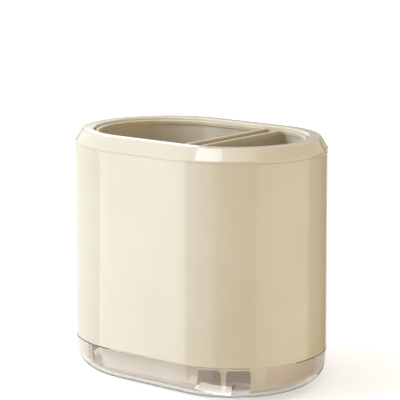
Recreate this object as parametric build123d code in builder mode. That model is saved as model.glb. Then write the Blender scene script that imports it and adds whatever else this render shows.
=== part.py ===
from build123d import *
import os
from math import atan, cos, degrees, radians, sin, sqrt, tan

# Free-standing holder for chopsticks, spoons and knives, in millimetres.
# +Z is up and the front faces -Y.  The long side lies along X, and the
# origin is on the table, under the middle of the body.
#
# Seen from above every wall is a stadium: two straight sides and two
# half-round ends.  From the table up the holder is a clear drip tray on four
# pads, an outer shell with a floor frame, and a bevelled top ring.  Two
# D-shaped cups stand in the shell, with a flat knife sleeve between them.

# Body outline, at the top edge of the shell
body_length = 210.0
body_depth = 143.0

# Heights, one above the other
pad_proud = 1.0
tray_height = 27.0
shell_height = 153.0
ring_height = 11.0

# Outer shell
shell_wall = 2.5
shell_draft = 0.3
seam_bevel = 0.4
rib_thickness = 1.6
rib_proud = 2.5
rib_pitch = 54.0
end_rib_angle = 72.0

# Top ring
ring_wall = 2.2
ring_band = 2.0
bevel_width = 5.3
flat_width = 9.5
bevel_radius = 1.2
mouth_radius = 1.6
collar_depth = 17.0
tongue_depth = 6.0
tongue_wall = 2.0
fit_gap = 0.2

# Snap hooks of the ring and the beads that they catch under
hook_width = 12.0
hook_wall = 1.6
hook_reach = 8.0
hook_pitch = 32.0
end_hook_angle = 48.0
barb_proud = 0.8
barb_height = 2.0
bead_proud = 1.0
bead_height = 2.0

# Floor frame, held in the shell by lugs
plate_thickness = 3.0
frame_gap = 0.15
upright_height = 9.5
upright_wall = 2.0
skirt_inset = 7.5
skirt_wall = 2.0
skirt_depth = 20.0
skirt_draft = 4.0
arch_angle = 59.0
arch_pitch = 20.0
arch_pillar = 4.0
arch_height = 16.0
arch_corner = 3.0
fence_gap = 0.4
fence_wall = 1.6
fence_height = 4.5
lug_width = 14.0
lug_height = 3.0
lug_proud = 1.0
lug_rise = 6.0
lug_pitch = 54.0
pocket_gap = 0.3

# Cups
cup_gap = 0.6
cup_wall = 2.0
cup_draft = 1.4
cup_corner = 6.5
rim_drop = 2.1
rim_height = 3.0
rim_bead = 1.0
rim_radius = 0.9
ledge_width = 3.0
ledge_height = 7.0
foot_corner = 3.5
grid_thickness = 2.4
grid_gap = 0.6

# Knife sleeve, between the cups
slot_center = 30.5
slot_room = 11.0
sleeve_gap = 0.4
sleeve_wall = 1.6
sleeve_draft = 0.3
sleeve_drop = 4.0
sleeve_corner = 3.0
sleeve_floor = 2.4

# Drain slots
drain_width = 4.5
drain_pitch = 10.0
drain_margin = 6.0
drain_bridge = 7.0
drain_length = 40.0

# Drip tray and its pads
tray_wall = 2.6
tray_floor = 3.0
tray_taper = 1.6
tray_radius = 17.0
pad_diameter = 15.0
pad_thickness = 2.4
pad_margin = 4.0
pad_bevel = 0.5
pad_angle = 45.0

# Levels and offsets worked out from the sizes above
tray_base = pad_proud
tray_top = tray_base + tray_height
plate_top = tray_top + plate_thickness
shell_top = tray_top + shell_height
ring_top = shell_top + ring_height
rim_top = ring_top - rim_drop
ledge_top = plate_top + ledge_height
cup_base = ledge_top - cup_wall
sleeve_top = rim_top - sleeve_drop
sleeve_height = sleeve_top - plate_top
straight = body_length - body_depth
draft_run = shell_height * tan(radians(shell_draft))
cup_run = (rim_top - cup_base) * tan(radians(cup_draft))
ledge_run = (rim_top - ledge_top) * tan(radians(cup_draft))
sleeve_run = sleeve_height * tan(radians(sleeve_draft))
tray_angle = degrees(atan(tray_taper / tray_height))
bevel_height = ring_height - ring_band
bevel_angle = degrees(atan(bevel_width / bevel_height))
mouth_inset = bevel_width + flat_width
tongue_inset = shell_wall + fit_gap
tongue_rise = ring_band + shell_wall * bevel_height / bevel_width
hook_inset = shell_wall + bead_proud + fit_gap
hook_base = shell_top - tongue_depth - hook_reach
frame_inset = shell_wall + frame_gap - draft_run
skirt_base = tray_top - skirt_depth
skirt_foot = skirt_inset + skirt_depth * tan(radians(skirt_draft))
arch_width = radians(arch_pitch) * (body_depth / 2 - skirt_inset) - arch_pillar
cup_inset = mouth_inset + cup_gap
foot_shift = cup_run + ledge_width
foot_inset = cup_inset + foot_shift
slot_left = slot_center - slot_room / 2
slot_right = slot_center + slot_room / 2
sleeve_left = slot_left + sleeve_gap
sleeve_right = slot_right - sleeve_gap
sleeve_foot = cup_inset + sleeve_run
pad_seat = pad_thickness - pad_proud
rib_base = tray_top + upright_height + fit_gap


def stadium(inset=0.0, mode=Mode.ADD):
    """Add the body's outline, moved inwards by inset, to the open sketch."""
    SlotOverall(body_length - 2 * inset, body_depth - 2 * inset, mode=mode)


def band(inset, wall):
    """Add a closed wall that follows the body's outline to the open sketch."""
    stadium(inset)
    stadium(inset + wall, Mode.SUBTRACT)


def compartment(left, right, inset, corner, mode=Mode.ADD):
    """Add the stadium between two flats, with rounded corners, to the open sketch."""
    with BuildSketch() as plan:
        stadium(inset + corner)
        with Locations(((left + right) / 2, 0)):
            Rectangle(right - left - 2 * corner, body_depth, mode=Mode.INTERSECT)
        offset(amount=corner)
    add(plan.sketch, mode=mode)


def fence(left, right, inset, corner):
    """Add a closed wall around the foot of a cup or of the sleeve to the open sketch."""
    far = fence_gap + fence_wall
    compartment(left - far, right + far, inset - far, corner + far)
    near = fence_gap
    compartment(left - near, right + near, inset - near, corner + near, Mode.SUBTRACT)


def half_depth(x, inset):
    """Half the depth of the stadium moved inwards by inset, at x."""
    beyond = max(0.0, abs(x) - straight / 2)
    return sqrt(max(0.0, (body_depth / 2 - inset) ** 2 - beyond**2))


def drain_slots(left, right, inset):
    """Cut rows of drain slots from the open sketch, each as long as the outline allows."""
    left = max(left, inset - body_length / 2) + drain_margin
    right = min(right, body_length / 2 - inset) - drain_margin
    rows = max(1, int((right - left) / drain_pitch + 1))
    for row in range(rows):
        x = (left + right) / 2 + (row - (rows - 1) / 2) * drain_pitch
        length = half_depth(abs(x) + drain_width / 2, inset + drain_margin) - drain_bridge / 2
        if length > 2 * drain_width:
            y = (drain_bridge + length) / 2
            with Locations((x, y), (x, -y)):
                SlotOverall(length, drain_width, rotation=90, mode=Mode.SUBTRACT)


def side_places(inset, count, pitch):
    """Places along both straight sides, where the local X axis points outwards."""
    y = body_depth / 2 - inset
    steps = [(index - (count - 1) / 2) * pitch for index in range(count)]
    return [Location((x, y * side), 90 * side) for side in (1, -1) for x in steps]


def end_places(inset, count, spread):
    """Places around both round ends, where the local X axis points outwards."""
    steps = [(index - (count - 1) / 2) * spread for index in range(count)]
    out = Pos(body_depth / 2 - inset, 0)
    right_end = [Pos(straight / 2, 0) * Rot(0, 0, angle) * out for angle in steps]
    return right_end + [Rot(0, 0, 180) * place for place in right_end]


def make_cup(left, right):
    """Cup between two flats: drafted walls, a beaded rim, a ledge for its grid and a foot."""
    lip = cup_wall + rim_bead
    with BuildPart() as cup:
        with BuildSketch(Plane.XY.offset(cup_base)):
            compartment(left + cup_run, right - cup_run, cup_inset + cup_run, cup_corner - cup_run)
        extrude(amount=rim_top - cup_base, taper=-cup_draft)
        with BuildSketch(Plane.XY.offset(plate_top)):
            compartment(left + foot_shift, right - foot_shift, foot_inset, foot_corner)
        extrude(amount=ledge_height - cup_wall)
        with BuildSketch(Plane.XY.offset(ledge_top)):
            side = ledge_run + cup_wall
            compartment(left + side, right - side, cup_inset + side, cup_corner - side)
        extrude(amount=rim_top - rim_height - ledge_top, taper=-cup_draft, mode=Mode.SUBTRACT)
        with BuildSketch(Plane.XY.offset(plate_top)):
            side = foot_shift + cup_wall
            compartment(left + side, right - side, cup_inset + side, foot_corner - cup_wall)
        extrude(amount=ledge_height, mode=Mode.SUBTRACT)
        with BuildSketch(Plane.XY.offset(rim_top)):
            compartment(left + lip, right - lip, cup_inset + lip, cup_corner - lip)
        extrude(amount=-rim_height, mode=Mode.SUBTRACT)
        fillet(cup.edges().group_by(Axis.Z)[-1], rim_radius)
    return cup


def make_grid(left, right):
    """Drain grid that lies on the ledge of a cup."""
    side = ledge_run + cup_wall + grid_gap
    with BuildPart() as grid:
        with BuildSketch(Plane.XY.offset(ledge_top)):
            compartment(left + side, right - side, cup_inset + side, cup_corner - side)
            drain_slots(left + side, right - side, cup_inset + side)
        extrude(amount=grid_thickness)
    return grid


def make_pad(center):
    """Soft pad, half sunk into its seat under the tray."""
    with BuildPart() as pad:
        with BuildSketch(Plane.XY):
            with Locations(center):
                Circle(pad_diameter / 2)
        extrude(amount=pad_thickness)
        chamfer(pad.edges().group_by(Axis.Z)[0], pad_bevel)
    return pad


# Places of the four pads, on the flat of the tray's underside
pad_radius = body_depth / 2 + draft_run - tray_taper - tray_radius - pad_diameter / 2 - pad_margin
pad_x = straight / 2 + pad_radius * cos(radians(pad_angle))
pad_y = pad_radius * sin(radians(pad_angle))

# Clear drip tray: a basin with a rounded lower edge
with BuildPart() as basin:
    with BuildSketch(Plane.XY.offset(tray_base + tray_floor)):
        stadium(tray_taper * (1 - tray_floor / tray_height) - draft_run + tray_wall)
    extrude(amount=tray_height - tray_floor, taper=-tray_angle)
    fillet(basin.edges().group_by(Axis.Z)[0], tray_radius - tray_floor)

with BuildPart() as drip_tray:
    with BuildSketch(Plane.XY.offset(tray_base)):
        stadium(tray_taper - draft_run)
    extrude(amount=tray_height, taper=-tray_angle)
    fillet(drip_tray.edges().group_by(Axis.Z)[0], tray_radius)
    chamfer(drip_tray.edges().group_by(Axis.Z)[-1], seam_bevel)
    add(basin.part, mode=Mode.SUBTRACT)
    with BuildSketch(Plane.XY.offset(tray_base)):
        with GridLocations(2 * pad_x, 2 * pad_y, 2, 2):
            Circle(pad_diameter / 2 + fit_gap)
    extrude(amount=pad_seat, mode=Mode.SUBTRACT)

# Outer shell: a drafted tube with stiffening ribs, catch beads and lug pockets
with BuildPart() as outer_shell:
    with BuildSketch(Plane.XY.offset(tray_top)):
        stadium(-draft_run)
    extrude(amount=shell_height, taper=shell_draft)
    chamfer(outer_shell.edges().group_by(Axis.Z)[0], seam_bevel)
    chamfer(outer_shell.edges().group_by(Axis.Z)[-1], seam_bevel)
    with BuildSketch(Plane.XY.offset(tray_top)):
        stadium(shell_wall - draft_run)
    extrude(amount=shell_height, taper=shell_draft, mode=Mode.SUBTRACT)
    with BuildSketch(Plane.XY.offset(rib_base)):
        with Locations(
            side_places(shell_wall / 2, 2, rib_pitch), end_places(shell_wall / 2, 2, end_rib_angle)
        ):
            Rectangle(shell_wall / 2 + rib_proud, rib_thickness, align=(Align.MAX, Align.CENTER))
    extrude(amount=hook_base - rib_base)
    with BuildSketch(Plane.XY.offset(hook_base + barb_height + fit_gap)):
        with Locations(
            side_places(shell_wall / 2, 2, hook_pitch), end_places(shell_wall / 2, 3, end_hook_angle)
        ):
            Rectangle(shell_wall / 2 + bead_proud, hook_width, align=(Align.MAX, Align.CENTER))
    extrude(amount=bead_height)
    with BuildSketch(Plane.XY.offset(tray_top + lug_rise - pocket_gap)):
        with Locations(side_places(shell_wall - draft_run, 2, lug_pitch)):
            Rectangle(2 * (lug_proud + pocket_gap), lug_width + 2 * pocket_gap)
    extrude(amount=lug_height + 2 * pocket_gap, mode=Mode.SUBTRACT)

# Top ring: bevelled hollow rail, inner collar, tongue and snap hooks
with BuildPart() as top_ring:
    with BuildSketch(Plane.XY.offset(shell_top)):
        stadium()
    extrude(amount=ring_band)
    with BuildSketch(Plane.XY.offset(shell_top + ring_band)):
        stadium()
    extrude(amount=bevel_height, taper=bevel_angle)
    chamfer(top_ring.edges().group_by(Axis.Z)[0], seam_bevel)
    with BuildSketch(Plane.XY.offset(shell_top)):
        stadium(ring_wall)
    extrude(amount=ring_band, mode=Mode.SUBTRACT)
    with BuildSketch(Plane.XY.offset(shell_top + ring_band)):
        stadium(ring_wall)
    extrude(amount=bevel_height - ring_wall, taper=bevel_angle, mode=Mode.SUBTRACT)
    with BuildSketch(Plane.XY.offset(shell_top - tongue_depth)):
        band(tongue_inset, tongue_wall)
    extrude(amount=tongue_depth + tongue_rise)
    with BuildSketch(Plane.XY.offset(ring_top - collar_depth)):
        stadium(mouth_inset - ring_wall)
    extrude(amount=collar_depth - ring_wall / 2)
    with BuildSketch(Plane.XY.offset(ring_top - collar_depth)):
        stadium(mouth_inset)
    extrude(amount=collar_depth, mode=Mode.SUBTRACT)
    fillet(top_ring.faces().sort_by(Axis.Z)[-1].inner_wires()[0].edges(), mouth_radius)
    fillet(top_ring.faces().sort_by(Axis.Z)[-1].outer_wire().edges(), bevel_radius)
    with BuildSketch(Plane.XY.offset(hook_base)):
        with Locations(side_places(hook_inset, 2, hook_pitch), end_places(hook_inset, 3, end_hook_angle)):
            Rectangle(hook_wall, hook_width - 2 * fit_gap, align=(Align.MAX, Align.CENTER))
    extrude(amount=hook_reach + tongue_depth)
    with BuildSketch(Plane.XY.offset(hook_base)):
        with Locations(
            side_places(hook_inset - barb_proud, 2, hook_pitch),
            end_places(hook_inset - barb_proud, 3, end_hook_angle),
        ):
            Rectangle(barb_proud + hook_wall, hook_width - 2 * fit_gap, align=(Align.MAX, Align.CENTER))
    extrude(amount=barb_height)

# Floor frame: perforated plate, upright with lugs, fences round the feet of the cups and of the
# sleeve, and a skirt that reaches into the tray, with arches that let air and water through
with BuildPart() as floor_frame:
    with BuildSketch(Plane.XY.offset(tray_top)):
        stadium(frame_inset)
        drain_slots(-body_length / 2, slot_left - foot_shift, foot_inset)
        drain_slots(slot_left, slot_right, foot_inset)
        drain_slots(slot_right + foot_shift, body_length / 2, foot_inset)
    extrude(amount=plate_thickness)
    with BuildSketch(Plane.XY.offset(plate_top)):
        band(frame_inset, upright_wall)
    extrude(amount=upright_height - plate_thickness)
    with BuildSketch(Plane.XY.offset(plate_top)):
        fence(-body_length / 2, slot_left - foot_shift, foot_inset, foot_corner)
        fence(slot_right + foot_shift, body_length / 2, foot_inset, foot_corner)
        fence(
            sleeve_left + sleeve_run, sleeve_right - sleeve_run, sleeve_foot,
            sleeve_corner - sleeve_run,
        )
    extrude(amount=fence_height)
    with BuildSketch(Plane.XY.offset(skirt_base)):
        stadium(skirt_foot)
    extrude(amount=skirt_depth, taper=-skirt_draft)
    with BuildSketch(Plane.XY.offset(skirt_base)):
        stadium(skirt_foot + skirt_wall)
    extrude(amount=skirt_depth, taper=-skirt_draft, mode=Mode.SUBTRACT)
    arches = [
        Plane(Pos(0, 0, skirt_base) * place * Rot(0, 90, 0))
        for angle in (arch_angle - arch_pitch / 2, arch_angle + arch_pitch / 2)
        for place in end_places(skirt_foot, 2, 2 * angle)
    ]
    with BuildSketch(*arches):
        RectangleRounded(2 * arch_height, arch_width, arch_corner)
    extrude(amount=arch_width / 2, both=True, mode=Mode.SUBTRACT)
    with BuildSketch(Plane.XY.offset(tray_top + lug_rise)):
        with Locations(side_places(frame_inset - lug_proud, 2, lug_pitch)):
            Rectangle(lug_proud + upright_wall / 2, lug_width, align=(Align.MAX, Align.CENTER))
    extrude(amount=lug_height)

# Cups, with their drain grids, and the knife sleeve between them
spoon_cup = make_cup(-body_length / 2, slot_left)
spoon_cup_grid = make_grid(-body_length / 2, slot_left)
chopstick_cup = make_cup(slot_right, body_length / 2)
chopstick_cup_grid = make_grid(slot_right, body_length / 2)

with BuildPart() as knife_sleeve:
    with BuildSketch(Plane.XY.offset(plate_top)):
        compartment(
            sleeve_left + sleeve_run, sleeve_right - sleeve_run, sleeve_foot,
            sleeve_corner - sleeve_run,
        )
    extrude(amount=sleeve_height, taper=-sleeve_draft)
    with BuildSketch(Plane.XY.offset(sleeve_top)):
        compartment(
            sleeve_left + sleeve_wall, sleeve_right - sleeve_wall, cup_inset + sleeve_wall,
            sleeve_corner - sleeve_wall,
        )
    extrude(amount=sleeve_floor - sleeve_height, taper=sleeve_draft, mode=Mode.SUBTRACT)
    with BuildSketch(Plane.XY.offset(plate_top)):
        drain_place = half_depth(slot_center, cup_inset) / 2
        with Locations((slot_center, -drain_place), (slot_center, drain_place)):
            SlotOverall(drain_length, drain_width, rotation=90)
    extrude(amount=sleeve_floor, mode=Mode.SUBTRACT)

tray_pad_front_left = make_pad((-pad_x, -pad_y))
tray_pad_front_right = make_pad((pad_x, -pad_y))
tray_pad_back_left = make_pad((-pad_x, pad_y))
tray_pad_back_right = make_pad((pad_x, pad_y))

pieces = {
    "drip_tray": drip_tray,
    "tray_pad_front_left": tray_pad_front_left,
    "tray_pad_front_right": tray_pad_front_right,
    "tray_pad_back_left": tray_pad_back_left,
    "tray_pad_back_right": tray_pad_back_right,
    "outer_shell": outer_shell,
    "top_ring": top_ring,
    "floor_frame": floor_frame,
    "spoon_cup": spoon_cup,
    "spoon_cup_grid": spoon_cup_grid,
    "chopstick_cup": chopstick_cup,
    "chopstick_cup_grid": chopstick_cup_grid,
    "knife_sleeve": knife_sleeve,
}

os.makedirs("parts", exist_ok=True)
for name, piece in pieces.items():
    piece.part.label = name
    export_step(piece.part, f"parts/{name}.step")
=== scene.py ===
from math import cos, pi, radians, sin

import bpy
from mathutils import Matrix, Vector

# Looks of the holder for chopsticks, spoons and knives, in metres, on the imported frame.
# The front faces -Y and the long side lies along X, as in the CAD. No shape is added.

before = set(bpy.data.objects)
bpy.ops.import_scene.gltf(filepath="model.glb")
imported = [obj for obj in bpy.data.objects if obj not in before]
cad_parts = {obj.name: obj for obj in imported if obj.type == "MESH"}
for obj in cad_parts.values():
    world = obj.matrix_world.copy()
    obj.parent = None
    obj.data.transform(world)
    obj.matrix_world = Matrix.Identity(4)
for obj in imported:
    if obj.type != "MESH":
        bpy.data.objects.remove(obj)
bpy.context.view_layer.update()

# Camera: looks a little down at the front from the right, through a long lens
CAMERA_AZIMUTH = 38.75
CAMERA_ELEVATION = 10.65
CAMERA_DISTANCE = 1.449
CAMERA_TARGET = Vector((0.0, 0.0, 0.1376))
CAMERA_LENS = 167.6
CAMERA_SENSOR = 36.0

# Colours, as they look on a screen
CREAM = "E6DCC6"
CREAM_DEEP = "DFD3BA"
INNER = "DCD0B6"
INNER_DEEP = "D2C4A6"
FRAME = "F4EDE5"
FRAME_DEEP = "ECE4D9"
SMOKE = "E1DAD1"
PAD = "F2EFE8"
PAD_SHADE = 0.85
FLOOR = "F4F2EB"

# Sizes and depths of surface detail. A stretch above 1 makes marks longer along that axis.
PEEL_SIZE = 0.0011
PEEL_DEPTH = 0.000012
GRAIN_SIZE = 0.00035
GRAIN_DEPTH = 0.00001
TONE_SIZE = 0.09
SMUDGE_SIZE = 0.016
SMUDGE_STRETCH = (1.0, 1.0, 3.0)
FLOW_STRETCH = (1.0, 1.0, 6.0)
NO_STRETCH = (1.0, 1.0, 1.0)
NOISE_RANGE = (0.3, 0.7)

# Finishes. A pair is the range that the smudges, flow marks or haze move in.
GLOSS_ROUGHNESS = (0.08, 0.11)
SATIN_ROUGHNESS = (0.38, 0.5)
CLEAR_ROUGHNESS = (0.02, 0.06)
RUBBER_ROUGHNESS = 0.8
CLEAR_IOR = 1.49
OPAQUE_PLASTIC = {
    "IOR": 1.5,
    "Subsurface_Weight": 0.08,
    "Subsurface_Radius": (1.0, 0.7, 0.4),
    "Subsurface_Scale": 0.002,
}

# Floor and light. Beyond FLOOR_FAR the floor is as white as the background.
FLOOR_SIZE = 12.0
FLOOR_HEIGHT = -0.0001
FLOOR_GLOW = 0.48
FLOOR_NEAR = 0.15
FLOOR_FAR = 1.0
WORLD_LEVEL = 0.15
WHITE = (1.0, 1.0, 1.0)

# name, azimuth, elevation, distance, width, height, level, colour
LAMPS = (
    ("window", -66, 18, 1.6, 1.2, 0.9, 0.15, WHITE),
    ("high_window", -45, 35, 1.6, 1.0, 0.9, 0.92, (0.76, 0.86, 1.0)),
    ("right_fill", 78, 5, 1.8, 0.9, 0.5, 0.33, (1.0, 0.84, 0.55)),
    ("overhead", 0, 85, 1.6, 1.0, 0.8, 0.37, (1.0, 0.93, 0.92)),
    ("back_fill", -156, 20, 1.6, 1.2, 0.9, 0.25, (1.0, 0.97, 0.92)),
)

# The same columns. The flags are dark, and the glints light the tray's near corner.
CARDS = (
    ("window_card", -32, -16, 0.427, 0.26, 0.5, 3.0, WHITE),
    ("ring_card", 2, 47, 1.4, 0.7, 0.54, 9.2, (0.7, 0.8, 1.0)),
    ("bevel_card", 39, 47, 1.4, 1.05, 0.54, 2.4, (0.9, 0.97, 1.0)),
    ("back_card", -141, 11, 1.5, 1.5, 0.9, 0.4, (1.0, 0.9, 0.78)),
    ("rim_card", -131.4, 30.6, 0.354, 0.115, 0.18, 2.0, WHITE),
    ("front_flag", 40, -10, 1.8, 1.6, 1.2, 0.1, WHITE),
    ("right_card", 110, -5, 1.5, 1.4, 0.82, 1.35, WHITE),
    ("low_flag", 110, -30, 1.5, 1.6, 0.5, 0.1, WHITE),
    ("tray_glint", 42, -55.8, 0.165, 0.036, 0.02, 9.5, (1.0, 0.97, 0.94)),
    ("tray_glint_right", 57.5, -53.2, 0.1705, 0.016, 0.02, 5.0, (1.0, 0.97, 0.94)),
    ("tray_glint_side", 22.5, -52.5, 0.172, 0.012, 0.018, 4.0, WHITE),
    ("right_flag", 165, -10, 1.5, 1.4, 1.2, 0.22, (1.0, 0.85, 0.65)),
)


def linear(screen):
    """A colour written as on a screen, as the linear values that a shader takes."""
    values = [int(screen[i:i + 2], 16) / 255 for i in (0, 2, 4)]
    return [v / 12.92 if v <= 0.04045 else ((v + 0.055) / 1.055) ** 2.4 for v in values] + [1.0]


def aim(thing, azimuth, elevation, distance):
    """Put a lamp, a card or the camera round CAMERA_TARGET, facing it.

    Azimuth 0 is in front of the object and 90 to its right.
    """
    a, e = radians(azimuth), radians(elevation)
    back = Vector((sin(a) * cos(e), -cos(a) * cos(e), sin(e)))
    thing.location = CAMERA_TARGET + back * distance
    thing.rotation_euler = back.to_track_quat("Z", "Y").to_euler()


class Nodes:
    """A node tree under construction."""

    def __init__(self, tree):
        self.tree = tree
        tree.nodes.clear()

    def add(self, kind, **values):
        """Add a node. A value names an input socket, with _ for a space, or a property."""
        node = self.tree.nodes.new(kind)
        for key, value in values.items():
            name = key.replace("_", " ")
            if name in node.inputs:
                self.feed(node.inputs[name], value)
            else:
                setattr(node, key, value)
        return node

    def feed(self, socket, value):
        """Give a socket a constant, or another node's output."""
        if isinstance(value, bpy.types.NodeSocket):
            self.tree.links.new(value, socket)
        else:
            socket.default_value = value

    def place(self):
        """The point on the surface, in its object's own coordinates."""
        return self.add("ShaderNodeTexCoord").outputs["Object"]

    def math(self, operation, a, b):
        node = self.add("ShaderNodeMath", operation=operation)
        self.feed(node.inputs[0], a)
        self.feed(node.inputs[1], b)
        return node.outputs[0]

    def mix(self, factor, a, b):
        """Blend two colours."""
        node = self.add("ShaderNodeMix", data_type="RGBA")
        self.feed(node.inputs["Factor"], factor)
        self.feed(node.inputs[6], a)
        self.feed(node.inputs[7], b)
        return node.outputs[2]

    def join(self, kind, a, b, **values):
        """Mix or add two shaders."""
        node = self.add(kind, **values)
        shaders = [socket for socket in node.inputs if socket.type == "SHADER"]
        self.feed(shaders[0], a)
        self.feed(shaders[1], b)
        return node.outputs[0]

    def noise(self, place, size, detail, stretch=NO_STRETCH):
        """Noise whose features are about size metres, longer where stretch is above 1."""
        mapping = self.add("ShaderNodeMapping", Vector=place, Scale=[1 / s for s in stretch])
        texture = self.add(
            "ShaderNodeTexNoise", Vector=mapping.outputs["Vector"], Scale=1 / size, Detail=detail
        )
        return texture.outputs["Fac"]

    def spread(self, value, low, high, source=NOISE_RANGE):
        """Map a value from its source range to the range from low to high."""
        start, end = source
        node = self.add(
            "ShaderNodeMapRange", Value=value, From_Min=start, From_Max=end, To_Min=low, To_Max=high
        )
        return node.outputs["Result"]

    def bump(self, height, depth):
        """The normal of a surface that is raised by up to depth metres."""
        node = self.add("ShaderNodeBump", Strength=1.0, Distance=depth, Height=height)
        return node.outputs["Normal"]

    def seen_directly(self):
        """1 for rays that show the background: camera, glossy and transmission rays."""
        path = self.add("ShaderNodeLightPath")
        seen = self.math("MAXIMUM", path.outputs["Is Camera Ray"], path.outputs["Is Glossy Ray"])
        return self.math("MAXIMUM", seen, path.outputs["Is Transmission Ray"])

    def finish(self, shader, kind="ShaderNodeOutputMaterial"):
        output = self.add(kind)
        self.feed(output.inputs["Surface"], shader)


def new_material(name):
    material = bpy.data.materials.new(name)
    material.use_nodes = True
    return material, Nodes(material.node_tree)


def gloss_plastic(name, color, deep):
    """Glossy moulded plastic: faint tone drift, orange peel and wiped smudges in the gloss."""
    material, nodes = new_material(name)
    place = nodes.place()
    tone = nodes.noise(place, TONE_SIZE, 3.0)
    smudge = nodes.noise(place, SMUDGE_SIZE, 5.0, SMUDGE_STRETCH)
    peel = nodes.noise(place, PEEL_SIZE, 2.0)
    shader = nodes.add(
        "ShaderNodeBsdfPrincipled",
        Base_Color=nodes.mix(nodes.spread(tone, 0.0, 1.0), linear(color), linear(deep)),
        Roughness=nodes.spread(smudge, *GLOSS_ROUGHNESS),
        Normal=nodes.bump(peel, PEEL_DEPTH),
        **OPAQUE_PLASTIC,
    )
    nodes.finish(shader.outputs["BSDF"])
    return material


def satin_plastic(name, color, deep):
    """Satin moulded plastic of the inner pieces: fine grain and faint vertical flow marks."""
    material, nodes = new_material(name)
    place = nodes.place()
    flow = nodes.noise(place, SMUDGE_SIZE, 4.0, FLOW_STRETCH)
    grain = nodes.noise(place, GRAIN_SIZE, 1.0)
    shader = nodes.add(
        "ShaderNodeBsdfPrincipled",
        Base_Color=nodes.mix(nodes.spread(flow, 0.0, 1.0), linear(color), linear(deep)),
        Roughness=nodes.spread(flow, *SATIN_ROUGHNESS),
        Normal=nodes.bump(grain, GRAIN_DEPTH),
        **OPAQUE_PLASTIC,
    )
    nodes.finish(shader.outputs["BSDF"])
    return material


def clear_plastic(name, color):
    """Clear, slightly smoky plastic with a faint haze. The lamps light what is behind it."""
    material, nodes = new_material(name)
    haze = nodes.noise(nodes.place(), SMUDGE_SIZE, 4.0)
    glass = nodes.add(
        "ShaderNodeBsdfPrincipled",
        Base_Color=linear(color),
        Roughness=nodes.spread(haze, *CLEAR_ROUGHNESS),
        IOR=CLEAR_IOR,
        Transmission_Weight=1.0,
    )
    path = nodes.add("ShaderNodeLightPath")
    unseen = nodes.math("MAXIMUM", path.outputs["Is Shadow Ray"], path.outputs["Is Diffuse Ray"])
    clear = nodes.add("ShaderNodeBsdfTransparent", Color=[*WHITE, 1.0])
    nodes.finish(nodes.join("ShaderNodeMixShader", glass.outputs[0], clear.outputs[0], Fac=unseen))
    return material


def soft_rubber(name, color):
    """Matt, slightly mottled rubber of the pads."""
    material, nodes = new_material(name)
    grain = nodes.noise(nodes.place(), GRAIN_SIZE, 3.0)
    shade = [v * PAD_SHADE for v in linear(color)[:3]] + [1.0]
    shader = nodes.add(
        "ShaderNodeBsdfPrincipled",
        Base_Color=nodes.mix(grain, linear(color), shade),
        Roughness=RUBBER_ROUGHNESS,
        Normal=nodes.bump(grain, GRAIN_DEPTH),
    )
    nodes.finish(shader.outputs["BSDF"])
    return material


def dress(material, *names):
    """Give CAD nodes a material."""
    for name in names:
        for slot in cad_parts[name].material_slots:
            slot.material = material


def make_floor():
    """Pale floor under the pads, which keeps the shadow. It fades to white away from the object."""
    bpy.ops.mesh.primitive_plane_add(size=FLOOR_SIZE, location=(0, 0, FLOOR_HEIGHT))
    floor = bpy.context.object
    floor.name = "floor"
    floor.visible_glossy = False
    material, nodes = new_material("floor_paper")
    distance = nodes.add("ShaderNodeVectorMath", operation="LENGTH", Vector=nodes.place())
    lift = nodes.spread(distance.outputs["Value"], FLOOR_GLOW, 1.0, (FLOOR_NEAR, FLOOR_FAR))
    diffuse = nodes.add("ShaderNodeBsdfDiffuse", Color=linear(FLOOR))
    strength = nodes.math("MULTIPLY", nodes.seen_directly(), lift)
    glow = nodes.add("ShaderNodeEmission", Strength=strength)
    nodes.finish(nodes.join("ShaderNodeAddShader", diffuse.outputs[0], glow.outputs[0]))
    floor.data.materials.append(material)


def make_world():
    """Even light from all round, seen as plain white."""
    world = bpy.data.worlds.new("studio")
    bpy.context.scene.world = world
    world.use_nodes = True
    nodes = Nodes(world.node_tree)
    light = nodes.add("ShaderNodeBackground", Color=[*WHITE, 1.0], Strength=WORLD_LEVEL)
    white = nodes.add("ShaderNodeBackground", Color=[*WHITE, 1.0], Strength=1.0)
    seen = nodes.seen_directly()
    both = nodes.join("ShaderNodeMixShader", light.outputs[0], white.outputs[0], Fac=seen)
    nodes.finish(both, "ShaderNodeOutputWorld")


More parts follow.
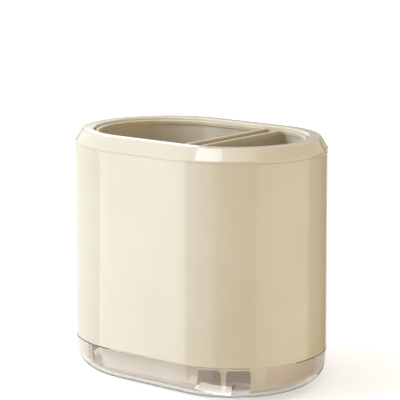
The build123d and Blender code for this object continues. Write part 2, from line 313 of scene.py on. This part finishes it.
def make_lamp(name, azimuth, elevation, distance, width, height, level, color):
    """Area lamp aimed at the object. Level is what it adds to a white surface that faces it."""
    data = bpy.data.lights.new(name, "AREA")
    data.shape = "RECTANGLE"
    data.size, data.size_y = width, height
    data.energy = level * pi**2 * distance**2
    data.color = color
    lamp = bpy.data.objects.new(name, data)
    bpy.context.scene.collection.objects.link(lamp)
    aim(lamp, azimuth, elevation, distance)
    lamp.visible_camera = lamp.visible_glossy = lamp.visible_transmission = False


def make_card(name, azimuth, elevation, distance, width, height, level, color):
    """Card that only the object's gloss shows: bright like a window, or a dark flag."""
    bpy.ops.mesh.primitive_plane_add(size=1.0)
    card = bpy.context.object
    card.name = name
    card.scale = (width, height, 1.0)
    aim(card, azimuth, elevation, distance)
    card.visible_camera = card.visible_diffuse = card.visible_shadow = False
    card.visible_transmission = False
    material, nodes = new_material(name)
    light = nodes.add("ShaderNodeEmission", Color=[*color, 1.0], Strength=level)
    nodes.finish(light.outputs[0])
    material.cycles.emission_sampling = "NONE"
    card.data.materials.append(material)


def make_camera():
    data = bpy.data.cameras.new("camera")
    data.lens = CAMERA_LENS
    data.sensor_width = CAMERA_SENSOR
    camera = bpy.data.objects.new("camera", data)
    bpy.context.scene.collection.objects.link(camera)
    aim(camera, CAMERA_AZIMUTH, CAMERA_ELEVATION, CAMERA_DISTANCE)
    bpy.context.scene.camera = camera


dress(gloss_plastic("cream_gloss", CREAM, CREAM_DEEP), "outer_shell", "top_ring")
dress(
    satin_plastic("inner_satin", INNER, INNER_DEEP),
    "spoon_cup", "spoon_cup_grid", "chopstick_cup", "chopstick_cup_grid", "knife_sleeve",
)
dress(satin_plastic("frame_satin", FRAME, FRAME_DEEP), "floor_frame")
dress(clear_plastic("tray_clear", SMOKE), "drip_tray")
dress(
    soft_rubber("pad_rubber_soft", PAD),
    *[f"tray_pad_{row}_{side}" for row in ("front", "back") for side in ("left", "right")],
)

make_floor()
make_world()
for lamp_values in LAMPS:
    make_lamp(*lamp_values)
for card_values in CARDS:
    make_card(*card_values)
make_camera()

bpy.context.scene.view_settings.view_transform = "Standard"
